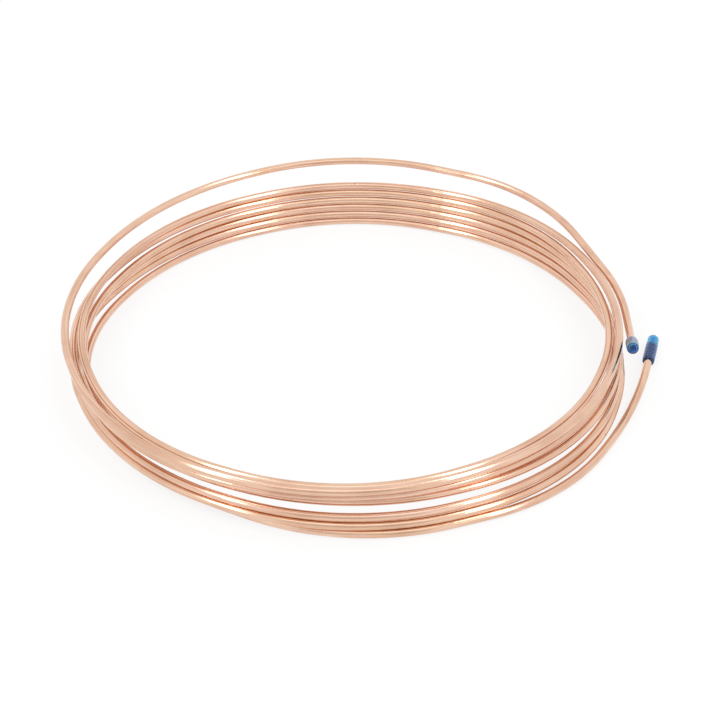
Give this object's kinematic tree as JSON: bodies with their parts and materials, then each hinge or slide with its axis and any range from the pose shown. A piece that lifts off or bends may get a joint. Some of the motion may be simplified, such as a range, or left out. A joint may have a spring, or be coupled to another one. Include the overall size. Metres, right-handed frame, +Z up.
{
  "type": "copper tube coil",
  "caption": "Loose round coil of bright soft copper tube lying flat, its turns stacked with daylight between them and a blue vinyl cap over each free end.",
  "frame": {"origin": "on the coil's own axis, at floor level", "axes": "+Z up from the floor; +X toward the side where both capped ends lie; -Y toward the viewer of the picture"},
  "size_m": [0.3648, 0.3436, 0.0464],
  "materials": {
    "bright_copper": null,
    "blue_vinyl": "soft translucent blue vinyl, dip moulded"
  },
  "bodies": {
    "root": {"copper_tube": "bright_copper", "end_cap_upper": "blue_vinyl", "end_cap_lower": "blue_vinyl"}
  },
  "joints": []
}
